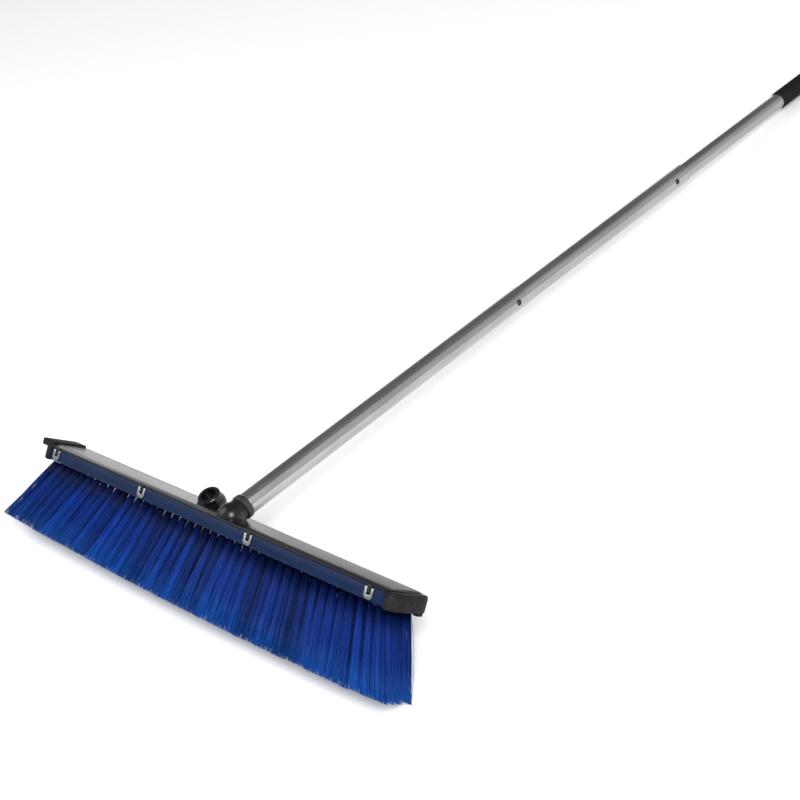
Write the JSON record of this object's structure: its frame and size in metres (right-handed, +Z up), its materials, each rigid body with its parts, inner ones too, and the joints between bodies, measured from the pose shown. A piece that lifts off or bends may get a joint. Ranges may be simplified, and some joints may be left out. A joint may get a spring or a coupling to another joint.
{
  "type": "push broom",
  "caption": "Push broom lying on the floor: wide head with fanned bristles, two threaded handle sockets, rubber end bumpers and a telescoping steel handle with snap-button locks.",
  "frame": {"origin": "centre of the object's footprint, on the floor it lies on", "axes": "+X along the head, +Y from the head towards the hand grip, +Z up"},
  "size_m": [0.665, 1.2614, 0.1062],
  "materials": {
    "block": "satin moulded",
    "cover": "glossy moulded with a knurled lip",
    "bumper": "mottled matte",
    "grip": "mottled matte",
    "bristles": "flagged filament",
    "clips": "bright",
    "tubes": "polished",
    "buttons": "polished",
    "springs": "plain",
    "ferrule": "moulded",
    "plugs": "moulded"
  },
  "bodies": {
    "head": {"bristle_row_1": "bristles", "bristle_row_2": "bristles", "bristle_row_3": "bristles", "bristle_row_4": "bristles", "brush_block": "block", "end_bumper_left": "bumper", "end_bumper_right": "bumper", "front_clip_1": "clips", "front_clip_2": "clips", "front_clip_3": "clips", "front_clip_4": "clips", "rear_clip_1": "clips", "rear_clip_2": "clips", "rear_clip_3": "clips", "rear_clip_4": "clips", "top_cover": "cover"},
    "lower": {"threaded_ferrule": "ferrule", "lower_tube": "tubes"},
    "middle": {"middle_tube": "tubes", "middle_tube_plug": "plugs", "button_spring_1": "springs"},
    "upper": {"upper_tube": "tubes", "upper_tube_plug": "plugs", "hand_grip": "grip", "button_spring_2": "springs"},
    "button_1": {"snap_button_1": "buttons"},
    "button_2": {"snap_button_2": "buttons"}
  },
  "joints": [
    {"name": "handle_turn", "type": "hinge", "parent": "head", "child": "lower", "pos_m": [0.02995, -0.51515, 0.08963], "axis": [0, 0.9977, -0.0678], "range_deg": [0, 360]},
    {"name": "middle_tube_slide", "type": "slide", "parent": "lower", "child": "middle", "axis": [0, 0.9977, -0.0678], "range_m": [-0.325, 0]},
    {"name": "upper_tube_slide", "type": "slide", "parent": "middle", "child": "upper", "axis": [0, 0.9977, -0.0678], "range_m": [-0.205, 0]},
    {"name": "button_1_press", "type": "slide", "parent": "middle", "child": "button_1", "axis": [-0.9703, -0.0164, -0.2414], "range_m": [0, 0.003], "stiffness_N_per_m": 400},
    {"name": "button_2_press", "type": "slide", "parent": "upper", "child": "button_2", "axis": [-0.9703, -0.0164, -0.2414], "range_m": [0, 0.003], "stiffness_N_per_m": 400}
  ]
}
